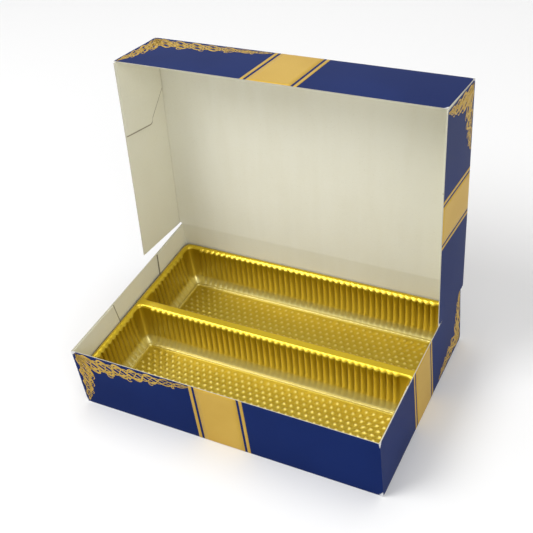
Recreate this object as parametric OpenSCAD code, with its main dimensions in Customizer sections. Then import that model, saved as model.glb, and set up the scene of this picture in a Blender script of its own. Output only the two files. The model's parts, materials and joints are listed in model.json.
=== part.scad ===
// Sweet box of folding boxboard: a base with a full-depth lid on one long crease, and a loose
// formed tray with two long compartments. X runs along the front, Y to the back, Z up, and the
// origin is the middle of the underside. The lid stands open.

/* [Base] */
// Outside length of the base, left to right
base_w = 246; // [200:1:300]
// Outside depth of the base, front to back
base_d = 163; // [130:1:200]
// Height of the lid's crease above the table
base_h = 56; // [44:1:70]
// How far the front and side walls stop short of the closed lid
wall_drop = 0.8; // [0.4:0.1:2]

/* [Board] */
// Thickness of the board
board_t = 0.6; // [0.4:0.1:1]
// Gap between the lid's panel and the round of its crease
crease_gap = 0.15; // [0.1:0.05:0.4]
// Degrees past flat that the crease lets the lid fall back
fall_back = 20; // [5:1:30]

/* [Lid] */
// Clearance between the base walls and the lid round them
lid_clear = 0.8; // [0.5:0.1:2]
// Height of the closed lid's free edges above the table
lid_foot = 0.8; // [0.4:0.1:3]
// Degrees that the lid's front wall springs outwards
lid_lean = 2; // [0:0.5:6]
// Degrees that the lid stands open
lid_open = 97; // [30:1:180]

/* [Glue tabs] */
// Length of the base's front corner tabs
front_tab = 58; // [30:1:62]
// Length of the base's back corner tabs
back_tab = 46; // [30:1:62]
// Length of the lid's corner tabs
lid_tab = 62; // [40:1:64]
// How far the tabs' long edges are cut back
tab_trim = 1; // [0.5:0.1:3]
// Length of the slanted cut at a tab's end
tab_slant = 22; // [5:1:25]
// Radius of the round where a tab's slanted cut ends
tab_round = 4; // [1:0.5:6]

/* [Tray] */
// Thickness of the tray's sheet
sheet_t = 0.5; // [0.3:0.1:0.8]
// Clearance between the tray's edge and the carton
tray_clear = 0.8; // [0.5:0.1:2]
// How far the tray's rim sits below the base walls
tray_sink = 18; // [3:0.5:24]
// Width of the rim round the compartments
rim_w = 5; // [3:0.5:8]
// Width of the divider's top
divider_w = 8; // [5:0.5:14]
// How far the rim's outer edge turns down
rim_lip = 1.6; // [0.5:0.1:3]
// How far the rim's inner edge rounds down
rim_round = 0.8; // [0.3:0.1:1.5]
// Corner radius of a compartment at its mouth
corner_r = 10; // [9:0.5:18]
// Degrees of draft on the compartment walls
draft = 5; // [2:0.5:6]
// Distance from one flute to the next
flute_pitch = 5; // [4.5:0.1:10]
// Depth of the flutes
flute_depth = 1.3; // [0.6:0.1:2]
// Height of the foot round below the flutes
foot_h = 6; // [2:0.5:8]
// Width of the foot round
foot_w = 4; // [1:0.5:4]
// Height of the step round the sunk floor
step_h = 1.2; // [0.6:0.1:2]
// Width of the step round the sunk floor
step_w = 2; // [1:0.5:3]

/* [Hidden] */
$fn = 48;

// Height of the base's front and side walls
wall_top = base_h - board_t/2 - wall_drop;
// Inside of the base, between the walls
base_in_w = base_w - 2*board_t;
base_in_d = base_d - 2*board_t;
// The lid's crease: an axis along X at the middle of the back wall's thickness
crease_y = base_d/2 - board_t/2;
// How far from that axis the lid's panel starts, so that it clears the back wall when it falls back
crease_reach = board_t/2*(1 + sin(fall_back))/cos(fall_back) + crease_gap;
// Underside of the closed lid's panel, and the lid's inside width, which leaves room for its tabs
lid_ceiling = base_h - board_t/2;
lid_in_w = base_w + 2*(lid_clear + board_t);
// Inside face of the lid's front wall at its crease
lid_front = -(base_d/2 + lid_clear);
lid_drop = lid_ceiling - lid_foot;

// Board folded up or down

// Section of a wall folded down from a panel at +X: the crease's inside corner is the origin
module fold_section(drop, lean) {
    intersection() {
        circle(r = board_t);
        translate([-board_t, 0]) square(board_t);
    }
    rotate(-lean) translate([-board_t, -drop]) square([board_t, drop]);
}

// Wall folded down from a panel at +Y, with its crease along X
module folded_wall(run, drop, lean = 0)
    rotate([90, 0, 90]) translate([0, 0, -run/2]) linear_extrude(run) fold_section(drop, lean);

// The same wall folded up, for the base: its crease stands on the table
module raised_wall(run, height)
    translate([0, 0, board_t]) mirror([0, 0, 1]) folded_wall(run, height - board_t);

// Outline of a glue tab: its fold is the line x = 0, leaning back below by the wall's lean, and
// its end is cut at a slant from the edge nearest the panel, with a rounded corner
module tab_outline(len, height, lean)
    union() {
        skew = height*tan(lean);
        polygon([[0, 0], [-skew, -height], [len - tab_slant/6, -height], [len, -tab_slant],
            [len - tab_slant, 0]]);
        translate([len - tab_round, -tab_slant]) circle(r = tab_round);
    }

// Glue tab in the plane x = 0 to board_t, running back from its fold
module glue_tab(len, height, lean = 0)
    rotate([90, 0, 90]) linear_extrude(board_t) tab_outline(len, height, lean);

// The base's tabs stand on the floor, inside the side walls
module base_tab(len)
    translate([0, 0, board_t + tab_trim]) mirror([0, 0, 1])
        glue_tab(len, wall_top - board_t - 2*tab_trim);

module base_front_tab_at(side)
    translate([side > 0 ? base_in_w/2 - board_t : -base_in_w/2, -base_in_d/2, 0])
        base_tab(front_tab);

module base_back_tab_at(side)
    translate([side > 0 ? base_in_w/2 - board_t : -base_in_w/2, base_in_d/2, 0])
        mirror([0, 1, 0]) base_tab(back_tab);

// Turns the closed lid about its crease to where it stands open
module opened()
    translate([0, crease_y, base_h]) rotate([-lid_open, 0, 0])
        translate([0, -crease_y, -base_h]) children();

module lid_side_wall(side)
    opened() {
        run = crease_y + board_t/2 - lid_front + board_t;
        translate([side*lid_in_w/2, lid_front - board_t + run/2, lid_ceiling])
            rotate(side*90) folded_wall(run, lid_drop);
    }

module lid_tab_at(side)
    opened()
        translate([side > 0 ? lid_in_w/2 - board_t : -lid_in_w/2, lid_front, lid_ceiling])
            translate([0, -tab_trim*tan(lid_lean), -tab_trim])
                glue_tab(lid_tab, lid_drop - 2*tab_trim, lid_lean);

// The pieces of board

module base_floor() color("ivory")
    translate([-base_in_w/2, -base_in_d/2, 0]) cube([base_in_w, base_in_d, board_t]);

module base_front_wall() color("midnightblue")
    translate([0, -base_in_d/2, 0]) raised_wall(base_in_w, wall_top);

module base_left_wall() color("midnightblue")
    translate([-base_in_w/2, 0, 0]) rotate(-90) raised_wall(base_d, wall_top);

module base_right_wall() color("midnightblue")
    translate([base_in_w/2, 0, 0]) rotate(90) raised_wall(base_d, wall_top);

// The back wall carries the lid, and its top is the round of the lid's crease
module back_wall() color("midnightblue") {
    translate([0, base_in_d/2, 0]) rotate(180) raised_wall(base_in_w, base_h);
    translate([-base_in_w/2, crease_y, base_h]) rotate([0, 90, 0])
        cylinder(h = base_in_w, r = board_t/2);
}

module base_front_left_tab() color("ivory") base_front_tab_at(-1);
module base_front_right_tab() color("ivory") base_front_tab_at(1);
module base_back_left_tab() color("ivory") base_back_tab_at(-1);
module base_back_right_tab() color("ivory") base_back_tab_at(1);

module lid_top_panel() color("midnightblue")
    opened() translate([-lid_in_w/2, lid_front, lid_ceiling])
        cube([lid_in_w, crease_y - crease_reach - lid_front, board_t]);

module lid_front_wall() color("midnightblue")
    opened() translate([0, lid_front, lid_ceiling]) folded_wall(lid_in_w, lid_drop, lid_lean);

module lid_left_wall() color("midnightblue") lid_side_wall(-1);
module lid_right_wall() color("midnightblue") lid_side_wall(1);
module lid_left_tab() color("ivory") lid_tab_at(-1);
module lid_right_tab() color("ivory") lid_tab_at(1);

// The formed tray: one thin sheet, lofted through rings of stations round each compartment.
// A station is [x, y, angle, flute]: a point of a ring lies from (x, y) along the angle, and
// flute is 1 where the sheet bulges into the compartment.

tray_w = base_in_w - 2*(board_t + tray_clear);
tray_d = base_in_d - 2*tray_clear;
tray_floor = board_t + sheet_t;
rim_z = wall_top - tray_sink;
// Straight half length of a long side, and the corner centres nearest to and furthest from the divider
side_x = tray_w/2 - rim_w - corner_r;
near_y = divider_w/2 + corner_r;
far_y = tray_d/2 - rim_w - corner_r;
long_flutes = round(2*side_x/flute_pitch);
short_flutes = round((far_y - near_y)/flute_pitch);
corner_steps = 6;
// The direction from a near corner's centre to where the divider meets the rim's outer edge
tee_angle = atan2(divider_w/2 + corner_r, rim_w + corner_r);

// Stations along a straight side from a to b, two to a flute
function side_stations(a, b, angle, flutes) = [
    for (i = [0 : 2*flutes - 1])
        let (p = a + (b - a)*(i + 0.5)/(2*flutes))
            [p[0], p[1], angle, i % 2]
];

// Stations round a corner from angle a to angle b, one of them at angle mid
function corner_stations(c, a, mid, b) = [
    for (i = [0 : corner_steps])
        let (k = 2*i/corner_steps)
            [c[0], c[1], k < 1 ? a + (mid - a)*k : mid + (b - mid)*(k - 1), 0]
];

stations = concat(
    side_stations([-side_x, near_y], [side_x, near_y], -90, long_flutes),
    corner_stations([side_x, near_y], -90, -tee_angle, 0),
    side_stations([side_x, near_y], [side_x, far_y], 0, short_flutes),
    corner_stations([side_x, far_y], 0, 45, 90),
    side_stations([side_x, far_y], [-side_x, far_y], 90, long_flutes),
    corner_stations([-side_x, far_y], 90, 135, 180),
    side_stations([-side_x, far_y], [-side_x, near_y], 180, short_flutes),
    corner_stations([-side_x, near_y], 180, 180 + tee_angle, 270)
);
station_count = len(stations);

function on_near_side(s) = s[1] == near_y && sin(s[2]) < -0.001;

// How far a station is from the edge of its half of the sheet, which is square at the divider
function edge_reach(s) = on_near_side(s)
    ? min((divider_w/2 + corner_r)/-sin(s[2]), (rim_w + corner_r)/max(abs(cos(s[2])), 0.001))
    : rim_w + corner_r;

// Whether a station's edge point lies on the line down the middle of the divider
function on_divider(s) = on_near_side(s)
    && (divider_w/2 + corner_r)/-sin(s[2]) <= (rim_w + corner_r)/max(abs(cos(s[2])), 0.001) + 0.0001;

function point_at(s, reach, z) = [s[0] + reach*cos(s[2]), s[1] + reach*sin(s[2]), z];

// A ring inset from the compartment's mouth, with or without its flutes
function wall_ring(inset, z, depth = 0) = [
    for (s = stations) point_at(s, corner_r - inset - depth*s[3], z)
];

// A ring a share of the way from the mouth to the edge. The outer edge turns down by the lip,
// and the middle of the divider stays level
function rim_ring(share, z) = [
    for (s = stations)
        let (lip = on_divider(s) ? 0 : rim_lip*max(0, 2*share - 1),
             p = point_at(s, corner_r + share*(edge_reach(s) - corner_r), z - lip))
            share == 1 && on_divider(s) ? [p[0], 0, p[2]] : p
];

// The inset at the foot of the walls, from their draft
wall_foot_z = tray_floor + step_h + foot_h;
draft_in = (rim_z - rim_round - wall_foot_z)*tan(draft);

// Rings of the sheet's underside from the floor out to the edge, then of its top side back in
rings = [
    wall_ring(draft_in + foot_w + step_w, tray_floor - sheet_t),
    wall_ring(draft_in + foot_w, tray_floor + step_h - sheet_t),
    wall_ring(draft_in - sheet_t, wall_foot_z, flute_depth),
    wall_ring(-sheet_t, rim_z - rim_round - sheet_t, flute_depth),
    rim_ring(0.5, rim_z - sheet_t),
    rim_ring(1, rim_z - sheet_t),
    rim_ring(1, rim_z),
    rim_ring(0.5, rim_z),
    wall_ring(0, rim_z - rim_round, flute_depth),
    wall_ring(draft_in, wall_foot_z, flute_depth),
    wall_ring(draft_in + foot_w, tray_floor + step_h),
    wall_ring(draft_in + foot_w + step_w, tray_floor)
];
ring_count = len(rings);
under_edge = 5;
floor_y = (near_y + far_y)/2;
half_count = ring_count*station_count + 2;

// Index of a point of the back half, or of the front half, which shares the divider's middle
function at(half, ring, i) =
    let (k = i % station_count,
         shared = (ring == under_edge || ring == under_edge + 1) && on_divider(stations[k]))
        (shared ? 0 : half*half_count) + ring*station_count + k;

function turned(half, face) = half == 0 ? face : [for (i = [len(face) - 1 : -1 : 0]) face[i]];

// The two halves meet along the divider, so the edge has no face there. A half's last two points
// are the middles of its floor, below and above
function half_faces(half) = concat(
    [for (i = [0 : station_count - 1])
        turned(half, [at(half, 0, i), at(half, 0, i + 1), (half + 1)*half_count - 2])],
    [for (r = [0 : ring_count - 2], i = [0 : station_count - 1])
        if (!(r == under_edge && on_divider(stations[i])
            && on_divider(stations[(i + 1) % station_count])))
            for (t = [[at(half, r, i), at(half, r + 1, i), at(half, r + 1, i + 1)],
                      [at(half, r, i), at(half, r + 1, i + 1), at(half, r, i + 1)]])
                turned(half, t)],
    [for (i = [0 : station_count - 1])
        turned(half, [at(half, ring_count - 1, i + 1), at(half, ring_count - 1, i),
            (half + 1)*half_count - 1])]
);

half_points = concat(
    [for (ring = rings, p = ring) p],
    [[0, floor_y, tray_floor - sheet_t], [0, floor_y, tray_floor]]
);

module sweet_tray() color("goldenrod")
    polyhedron(
        points = concat(half_points, [for (p = half_points) [p[0], -p[1], p[2]]]),
        faces = concat(half_faces(0), half_faces(1)),
        convexity = 10
    );

base_floor();
base_front_wall();
base_left_wall();
base_right_wall();
back_wall();
base_front_left_tab();
base_front_right_tab();
base_back_left_tab();
base_back_right_tab();
lid_top_panel();
lid_front_wall();
lid_left_wall();
lid_right_wall();
lid_left_tab();
lid_right_tab();
sweet_tray();
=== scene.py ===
import json
import math

import bmesh
import bpy
import numpy as np
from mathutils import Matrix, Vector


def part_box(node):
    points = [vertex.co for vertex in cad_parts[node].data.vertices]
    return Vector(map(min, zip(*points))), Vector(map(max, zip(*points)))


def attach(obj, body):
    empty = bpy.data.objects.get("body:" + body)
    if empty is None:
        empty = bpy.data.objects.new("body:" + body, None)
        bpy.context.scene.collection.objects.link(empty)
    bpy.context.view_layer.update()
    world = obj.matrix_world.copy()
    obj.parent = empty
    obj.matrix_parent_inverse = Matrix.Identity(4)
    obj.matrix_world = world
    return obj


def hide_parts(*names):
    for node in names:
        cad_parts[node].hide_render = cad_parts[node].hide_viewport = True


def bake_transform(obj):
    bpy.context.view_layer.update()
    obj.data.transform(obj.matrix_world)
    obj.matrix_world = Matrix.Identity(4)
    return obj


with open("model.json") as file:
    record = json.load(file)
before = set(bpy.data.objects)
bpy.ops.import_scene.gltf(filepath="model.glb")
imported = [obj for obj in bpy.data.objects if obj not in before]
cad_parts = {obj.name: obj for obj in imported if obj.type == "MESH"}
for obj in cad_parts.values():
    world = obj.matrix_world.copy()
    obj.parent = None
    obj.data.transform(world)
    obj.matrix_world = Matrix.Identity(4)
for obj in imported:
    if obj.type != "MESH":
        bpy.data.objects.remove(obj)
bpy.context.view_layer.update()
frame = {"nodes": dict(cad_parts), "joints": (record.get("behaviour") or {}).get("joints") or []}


# The blank. The carton is one die-cut sheet of folding boxboard, about 0.6 mm thick, printed deep blue
# on its outer face and left bare and cream inside. Every flat of it is a board piece between its creases,
# and the crease along the top of the back wall is the only one that moves.
MM = 0.001
BOARD = float(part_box("base_floor")[1].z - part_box("base_floor")[0].z)
INK = 0.04 * MM
ROUND_ROWS = 6
CUT_SHARP = math.radians(35)
CUT_SPARE = 0.3 * MM
FOLD_WEAR = 0.6 * MM
CORNER_WEAR, CORNER_REACH = 0.9, 4 * MM


class Flat:
    """One flat of the blank. A place on its outer face is s along the crease, left to right as seen
    from outside, and t from the crease to the free edge.

    place = start + s along + t down + (depth - sag) out, where sag is the bow of the board: bow times
    sin(pi s / run) times sin(pi t / 2 drop) squared, or sin(pi t / drop) where all four sides are held.
    Behind t = 0 the face goes round the crease's inside corner, turning by t / board."""

    body = "base"

    def __init__(self, start, along, down, out, run, drop, bow=0.0, lean=0.0, held=False):
        self.start, self.along = np.array(start, float), np.array(along, float)
        down, out = np.array(down, float), np.array(out, float)
        self.down = down * math.cos(lean) + out * math.sin(lean)
        self.out = out * math.cos(lean) - down * math.sin(lean)
        self.run, self.drop, self.bow, self.held = run, drop, bow, held
        self.round = 0.0 if held else BOARD * (math.pi / 2 - lean)
        self.spare = 0.0 if held else CUT_SPARE
        self.flipped = np.dot(np.cross(self.along, self.down), self.out) < 0

    def place(self, s, t, depth=BOARD - INK):
        s, t = np.broadcast_arrays(np.asarray(s, float), np.asarray(t, float))
        flat_t, turn = np.maximum(t, 0), np.minimum(t, 0) / -BOARD
        part = np.clip(flat_t / self.drop, 0, 1)
        across = np.sin(math.pi * part) if self.held else np.sin(math.pi * part / 2) ** 2
        reach = depth - self.bow * np.sin(math.pi * np.clip(s / self.run, 0, 1)) * across
        return (self.start + s[..., None] * self.along + flat_t[..., None] * self.down
                + (reach * np.cos(turn))[..., None] * self.out
                - (reach * np.sin(turn))[..., None] * self.down)

    def from_fold(self, s, t):
        """Distance of a place from the nearest fold's apex, or from a cut edge and the spare."""
        apex = BOARD * math.pi / 4
        s, t = np.broadcast_arrays(np.asarray(s, float), np.asarray(t, float))
        ends, foot = np.minimum(s, self.run - s), self.drop - t + self.spare
        if self.held:
            return np.minimum(np.minimum(t, foot), ends) + apex
        return np.minimum(np.minimum(np.abs(t + self.round / 2), foot), ends + self.spare)


def in_scene(name, data):
    """An object that holds this data, linked to the scene."""
    made = bpy.data.objects.new(name, data)
    bpy.context.scene.collection.objects.link(made)
    return made


def mesh_object(name, points, faces, materials, face_materials=None, attributes=None):
    """An object at the origin whose mesh has these points and faces; attributes are numbers per point."""
    mesh = bpy.data.meshes.new(name)
    mesh.from_pydata([tuple(p) for p in points], [], [tuple(int(i) for i in f) for f in faces])
    for m in materials:
        mesh.materials.append(m)
    if face_materials is not None:
        mesh.polygons.foreach_set("material_index", np.asarray(face_materials, np.int32))
    for key, values in (attributes or {}).items():
        mesh.attributes.new(key, "FLOAT", "POINT").data.foreach_set("value", np.asarray(values, np.float32))
    mesh.polygons.foreach_set("use_smooth", np.full(len(mesh.polygons), True))
    mesh.set_sharp_from_angle(angle=CUT_SHARP)
    mesh.update()
    return in_scene(name, mesh)


def quads(rows, columns, wrap=False, flip=False, first=0):
    """Corner numbers of a grid's quads, row by row, the last row joined to the first where it wraps."""
    r, c = (a.ravel() for a in np.meshgrid(np.arange(rows if wrap else rows - 1), np.arange(columns - 1),
                                           indexing="ij"))
    below = (r + 1) % rows
    f = np.stack([r * columns + c, r * columns + c + 1, below * columns + c + 1, below * columns + c], 1)
    return first + (f[:, ::-1] if flip else f)


class Wire:
    """A socket of a finish's nodes. The signs + - * / between wires and numbers add Math nodes."""

    def __init__(self, finish, socket):
        self.finish, self.socket = finish, socket

    def _math(self, operation, a, b):
        return self.finish.node("ShaderNodeMath", {"operation": operation}, a, b)

    def __add__(self, other): return self._math("ADD", self, other)
    def __radd__(self, other): return self._math("ADD", other, self)
    def __sub__(self, other): return self._math("SUBTRACT", self, other)
    def __rsub__(self, other): return self._math("SUBTRACT", other, self)
    def __mul__(self, other): return self._math("MULTIPLY", self, other)
    def __rmul__(self, other): return self._math("MULTIPLY", other, self)
    def __truediv__(self, other): return self._math("DIVIDE", self, other)
    def __rtruediv__(self, other): return self._math("DIVIDE", other, self)

    def ramp(self, low, high, to_low=0.0, to_high=1.0):
        """This value carried smoothly from low..high to to_low..to_high."""
        return self.finish.node("ShaderNodeMapRange", {"interpolation_type": "SMOOTHSTEP"},
                                self, low, high, to_low, to_high)


class Finish:
    """A material being built. The fixed values go to its shader's own sockets, and set() joins a wire
    to one of them. An underscore in a socket's name stands for a space."""

    def __init__(self, name, **fixed):
        self.material = bpy.data.materials.new(name)
        self.material.use_nodes = True
        self.tree = self.material.node_tree
        self.shader = self.tree.nodes["Principled BSDF"]
        for socket, value in fixed.items():
            self.shader.inputs[socket.replace("_", " ")].default_value = value

    def node(self, kind, settings=None, *values, output=0, **named):
        """A node of this kind with its settings, and values or wires for its first sockets in order
        and for the named ones; None leaves a socket as it is."""
        made = self.tree.nodes.new(kind)
        for key, value in (settings or {}).items():
            setattr(made, key, value)
        for key, value in [*enumerate(values), *((k.replace("_", " "), v) for k, v in named.items())]:
            if isinstance(value, Wire):
                self.tree.links.new(value.socket, made.inputs[key])
            elif value is not None:
                made.inputs[key].default_value = value
        return Wire(self, made.outputs[output])

    def number(self, attribute):
        """A number that the mesh holds for each point."""
        return self.node("ShaderNodeAttribute", {"attribute_name": attribute}, output="Fac")

    def noise(self, scale, detail=2.0, stretch=(1, 1, 1), roughness=0.5):
        """Clouds of about 1 / scale metres, finer along an axis by its stretch."""
        place = self.node("ShaderNodeTexCoord", output="Object")
        mapped = self.node("ShaderNodeMapping", None, place, Scale=stretch)
        return self.node("ShaderNodeTexNoise", None, mapped,
                         Scale=scale, Detail=detail, Roughness=roughness)

    def mix(self, factor, a, b):
        """Colour a where factor is 0 and b where it is 1; a Mix node's colours are its sockets 6 and 7."""
        a, b = (c if isinstance(c, Wire) else (*c, 1.0) for c in (a, b))
        return self.node("ShaderNodeMix", {"data_type": "RGBA"}, factor, *[None] * 5, a, b, output=2)

    def bump(self, height, distance):
        """Relief that stands up by the distance where the height is 1."""
        self.set(Normal=self.node("ShaderNodeBump", Distance=distance, Height=height))

    def set(self, **sockets):
        for name, wire in sockets.items():
            self.tree.links.new(wire.socket, self.shader.inputs[name.replace("_", " ")])


PRINT_BLUE = (0.0030, 0.0135, 0.088)
PRINT_BLUE_PALE = (0.0048, 0.0180, 0.108)
PRINT_BLUE_GRAIN = (0.009, 0.028, 0.14)
BOARD_CORE = (0.66, 0.66, 0.68)
CREAM = (0.80, 0.79, 0.675)
CREAM_SHADE = (0.71, 0.685, 0.54)
CREAM_SPECK = (0.45, 0.40, 0.30)
CREAM_FOLD_SHADE = (0.42, 0.38, 0.27)
CUT_DARK, CUT_PALE = (0.42, 0.40, 0.32), (0.57, 0.55, 0.46)


def printed_finish():
    """Deep blue offset print under a thin gloss film, rubbed pale to the board's core along folds."""
    f = Finish("blue_print", Roughness=0.36, Specular_IOR_Level=0.025)
    cloudy = f.noise(14.0, 3.0)
    grain = f.noise(2600.0, 2.0)
    ink = f.mix(cloudy.ramp(0.35, 0.7), PRINT_BLUE, PRINT_BLUE_PALE)
    ink = f.mix((grain - 0.5) * 0.2 + 0.08, ink, PRINT_BLUE_GRAIN)
    frayed = f.noise(650.0, 4.0, roughness=0.7)
    reach = f.number("wear") * (frayed * 1.5 + 0.15)
    worn = (reach - f.number("fold") / FOLD_WEAR).ramp(0.0, 0.3)
    f.set(Base_Color=f.mix(worn, ink, BOARD_CORE), Roughness=grain * 0.08 + 0.30 + worn * 0.35)
    f.bump(grain * 0.4 + f.noise(160.0, 3.0) * 0.6, 0.02 * MM)
    return f.material


def cream_finish():
    """Uncoated inner face: cream, faintly clouded and streaked along the grain of the board, with short
    fibres, a few darker specks, and a painted line of shade along each fold and cut edge."""
    f = Finish("cream_board", Roughness=0.85, Specular_IOR_Level=0.25)
    cloudy = f.noise(16.0, 4.0)
    streaks = f.noise(60.0, 3.0, (2.2, 0.25, 0.25))
    fibres = f.noise(420.0, 4.0, (1, 3, 3), 0.65)
    specks = f.noise(1300.0, 1.0).ramp(0.71, 0.78)
    tone = f.mix((cloudy - 0.35) * 0.8 + (streaks - 0.5) * 0.5 + (fibres - 0.5) * 0.5, CREAM, CREAM_SHADE)
    tone = f.mix(specks * 0.3, tone, CREAM_SPECK)
    # painted shade: the cream darkens within about 1.8 mm of each fold and cut edge
    fold_shade = f.number("fold").ramp(0.2 * MM, 1.8 * MM, 0.16, 0.0)
    f.set(Base_Color=f.mix(fold_shade, tone, CREAM_FOLD_SHADE))
    f.bump(fibres * 0.7 + streaks * 0.3, 0.12 * MM)
    return f.material


def cut_finish():
    """The board's cut edge: the layers of fibre drawn out along it."""
    f = Finish("cut_edge", Roughness=0.9, Specular_IOR_Level=0.2)
    layers = f.noise(900.0, 3.0, (0.3, 0.3, 4))
    f.set(Base_Color=f.mix(layers, CUT_DARK, CUT_PALE))
    f.bump(layers, 0.1 * MM)
    return f.material


PRINTED, BARE, CUT = range(3)
board_finishes = [printed_finish(), cream_finish(), cut_finish()]


def cap_rows(turned, rows):
    """A board's end as row numbers: a fan over the fold's round, then quads from outer to inner rows."""
    outer = turned + np.arange(rows - 1)
    inner = turned + 2 * rows - 1 - np.arange(rows - 1)
    fan = [np.array([*range(turned + 1), turned + 2 * rows - 1])] if turned else []
    return [*fan, *np.stack([outer, outer + 1, inner - 1, inner], 1)]


def board_piece(name, node, flat, wear, rows=16, columns=64, end_finish=CUT):
    """A flat of the blank as a closed board: its outer face's rows, the round of its fold among them,
    then its inner face's rows, carried along the fold. A cap closes each end, printed where the blank
    goes on round the corner. Wear is a number, or a function of the share of the run, and rises by
    0.9 exp(-(d / 4 mm)^2) at a distance d from one of the flat's corners."""
    turn = -np.linspace(flat.round, 0, ROUND_ROWS + 1)[:-1] if flat.round else np.empty(0)
    outer = np.concatenate([turn, np.linspace(0, flat.drop, rows)])
    inner = np.linspace(flat.drop, 0, rows)
    s = np.linspace(0, flat.run, columns)[None]
    t = np.concatenate([outer, inner])[:, None]
    points = np.concatenate([flat.place(s, outer[:, None]), flat.place(s, inner[:, None], 0.0)])
    ends = np.minimum(s, flat.run - s)
    far = np.minimum(np.abs(t), np.abs(flat.drop - t))
    near_corner = np.exp(-(ends**2 + far**2) / CORNER_REACH**2)
    rub = (wear(s / flat.run) if callable(wear) else wear) + CORNER_WEAR * near_corner
    ring = len(t)
    cap = cap_rows(len(turn), rows)
    caps = [c * columns for c in cap] + [c[::-1] * columns + columns - 1 for c in cap]
    faces = [*quads(ring, columns, wrap=True, flip=flat.flipped),
             *(c[::-1] if flat.flipped else c for c in caps)]
    row_finish = [PRINTED] * (len(outer) - 1) + [CUT] + [BARE] * (rows - 1) + [CUT]
    finishes = [*np.repeat(row_finish, columns - 1), *[end_finish] * len(caps)]
    piece = mesh_object(name, points.reshape(-1, 3), faces, board_finishes, finishes,
                        {"fold": flat.from_fold(s, t).ravel(), "wear": rub.ravel()})
    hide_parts(node)
    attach(piece, flat.body)


# The base. Its floor and four walls are folded up from the blank, the front and side walls to cut top
# edges, and the back wall up to the lid's crease. The walls stand a little bowed.
X, Y, Z = np.eye(3)
WALL_BOW = 0.35 * MM
HINGE = np.array(frame["joints"][0]["pos_m"])
CREASE_HALF, CREASE_SPARE = 0.5 * MM, 2 * MM


def base_box(node):
    """Lowest and highest corner of a base node."""
    low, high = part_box(node)
    return np.array(low), np.array(high)


def raised(node, along, out, bow=WALL_BOW):
    """The flat of a base wall, whose fold is on the table and whose free edge is up."""
    low, high = base_box(node)
    start = np.where(along > 0.5, low, np.where(along < -0.5, high, 0.0))
    start = start + np.where(out > 0.5, high, np.where(out < -0.5, low, 0.0)) - BOARD * out
    start[2] = BOARD
    return Flat(start, along, Z, out, abs(np.dot(high - low, along)), high[2] - BOARD, bow)


floor_low, floor_high = base_box("base_floor")
base_floor = Flat([floor_low[0], floor_high[1], BOARD], X, -Y, -Z, floor_high[0] - floor_low[0],
                  floor_high[1] - floor_low[1], held=True)
base_front = raised("base_front_wall", X, -Y)
base_right = raised("base_right_wall", Y, X)
base_left = raised("base_left_wall", -Y, -X)
back = raised("back_wall", -X, Y, bow=0.0)
back.drop, back.spare = HINGE[2] - CREASE_HALF - BOARD, CREASE_SPARE

board_piece("floor_board", "base_floor", base_floor, 0.3, rows=24)
board_piece("front_board", "base_front_wall", base_front, 0.35, end_finish=PRINTED)
board_piece("right_board", "base_right_wall", base_right, 0.3, end_finish=PRINTED)
board_piece("left_board", "base_left_wall", base_left, 0.3, end_finish=PRINTED)
board_piece("back_board", "back_wall", back, 0.5)


# The lid. The same blank goes on past the crease as a full-depth cover: a top panel and three walls,
# folded down over the base's walls. It is worked out shut and swung open to where it stands.
STANDS_OPEN = math.radians(-frame["joints"][0]["range_deg"][0])
TOP_BOW = 0.5 * MM


def swing(points, angle):
    """Points turned about the lid's crease, opening it by angle: y' = y cos a + z sin a and
    z' = z cos a - y sin a, measured from the crease."""
    p = np.asarray(points, float) - HINGE
    c, s = math.cos(angle), math.sin(angle)
    y, z = p[..., 1] * c + p[..., 2] * s, p[..., 2] * c - p[..., 1] * s
    return np.stack([p[..., 0], y, z], -1) + HINGE


def shut_box(node):
    """Lowest and highest corner of a lid node with the lid closed."""
    mesh = frame["nodes"][node].data
    co = np.zeros(len(mesh.vertices) * 3)
    mesh.vertices.foreach_get("co", co)
    shut = swing(co.reshape(-1, 3), -STANDS_OPEN)
    return shut.min(0), shut.max(0)


class LidFlat(Flat):
    """A flat of the lid, given with the lid closed and placed with it open."""

    body = "lid"

    def place(self, s, t, depth=BOARD - INK):
        return swing(super().place(s, t, depth), STANDS_OPEN)


top_low, top_high = shut_box("lid_top_panel")
side_low, side_high = shut_box("lid_right_wall")
lid_front_low = shut_box("lid_front_wall")[0]
lid_ceiling = top_low[2]
lid_drop = lid_ceiling - side_low[2]
LID_LEAN = math.atan2(top_low[1] - BOARD - lid_front_low[1], lid_drop)
PAST_RIBBON = 0.6


def rubbed_front(share):
    """Wear of the long front fold: 0.13 on the left, 0.42 more from the ribbon's right side on,
    and half of that extra wear at the right end."""
    past = np.clip((share - PAST_RIBBON + 0.02) / 0.03, 0, 1)
    return 0.13 + 0.42 * past * (1 - 0.5 * np.clip(share - PAST_RIBBON, 0, 1) / (1 - PAST_RIBBON))


lid_top = LidFlat([top_low[0], top_low[1], lid_ceiling], X, Y, Z, top_high[0] - top_low[0],
                  top_high[1] - top_low[1], TOP_BOW, held=True)
lid_top.spare = CREASE_SPARE
lid_front = LidFlat([top_low[0], top_low[1], lid_ceiling], X, -Z, -Y, top_high[0] - top_low[0],
                    lid_drop, lean=LID_LEAN)
lid_right = LidFlat([top_high[0], side_low[1], lid_ceiling], Y, -Z, X, side_high[1] - side_low[1],
                    lid_drop, WALL_BOW)
lid_left = LidFlat([top_low[0], side_high[1], lid_ceiling], -Y, -Z, -X, side_high[1] - side_low[1],
                   lid_drop, WALL_BOW)

board_piece("lid_board", "lid_top_panel", lid_top, 0.4, rows=40)
board_piece("lid_front_board", "lid_front_wall", lid_front, rubbed_front, columns=120)
board_piece("lid_right_board", "lid_right_wall", lid_right, 0.2)
board_piece("lid_left_board", "lid_left_wall", lid_left, 0.2)


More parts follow.
